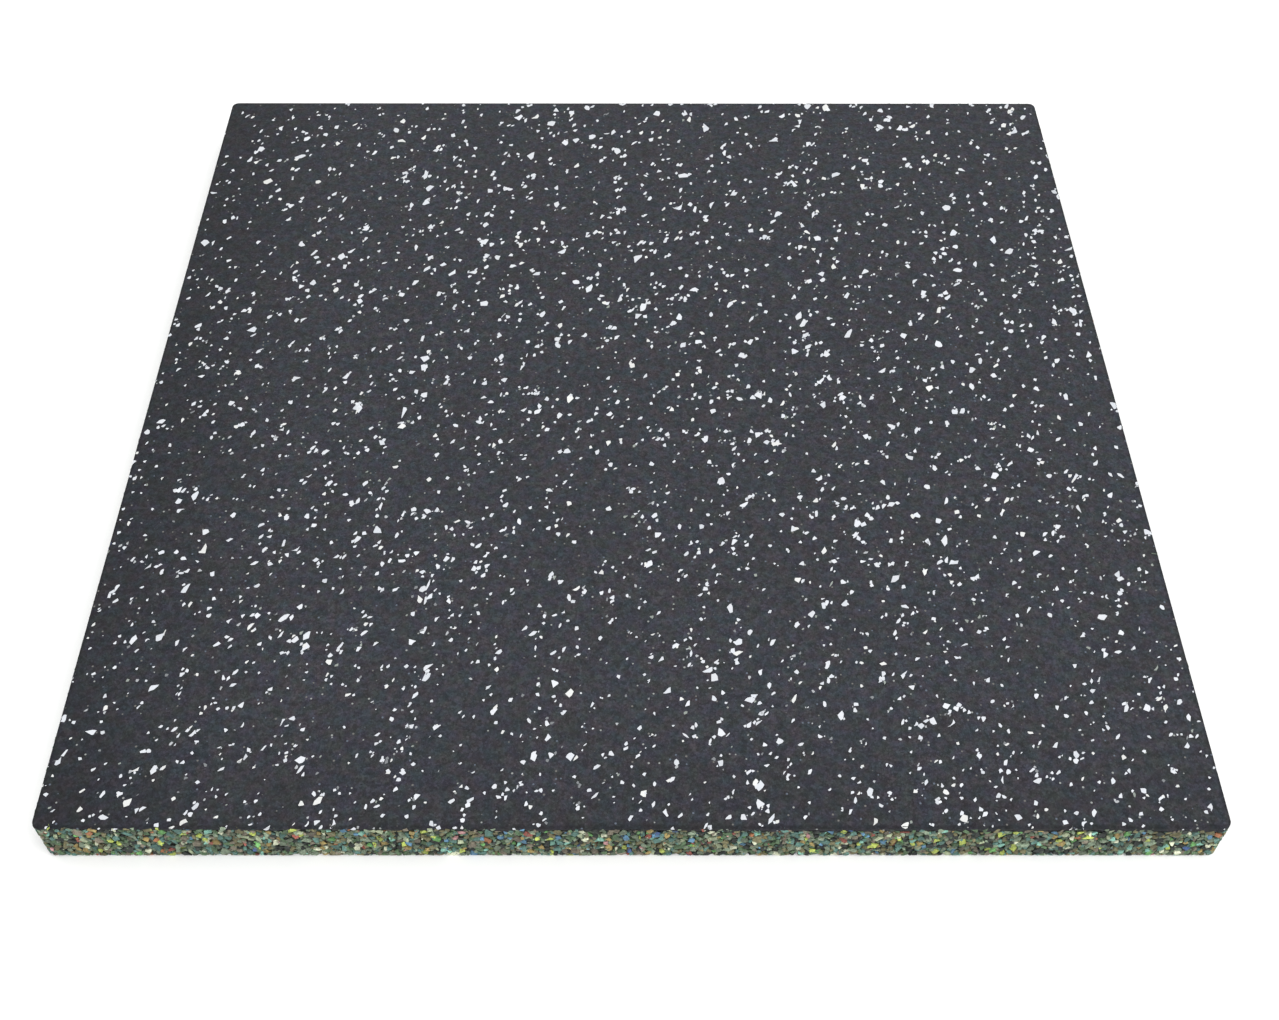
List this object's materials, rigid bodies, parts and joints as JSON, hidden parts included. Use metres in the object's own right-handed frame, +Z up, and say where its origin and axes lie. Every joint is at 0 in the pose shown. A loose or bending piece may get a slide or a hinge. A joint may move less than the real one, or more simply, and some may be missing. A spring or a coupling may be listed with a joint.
{
  "type": "sports floor tile",
  "caption": "Square rubber sports floor tile: a thick base of bonded coloured granules under a thin dark wear layer with pale flecks, with plain butt edges.",
  "frame": {"origin": "centre of the underside, on the floor that the tile lies on", "axes": "+Z up through the thickness, out of the flecked wear layer; +X and +Y along the tile's sides, with +Y away from the picture's camera"},
  "size_m": [0.5, 0.5, 0.025],
  "materials": {
    "bonded_granules": "rough pressed granules in mixed green, grey, blue, yellow and red",
    "flecked_wear_rubber": "fine matt charcoal rubber with scattered off-white flecks"
  },
  "bodies": {
    "root": {"base_layer": "bonded_granules", "wear_layer": "flecked_wear_rubber"}
  },
  "joints": []
}
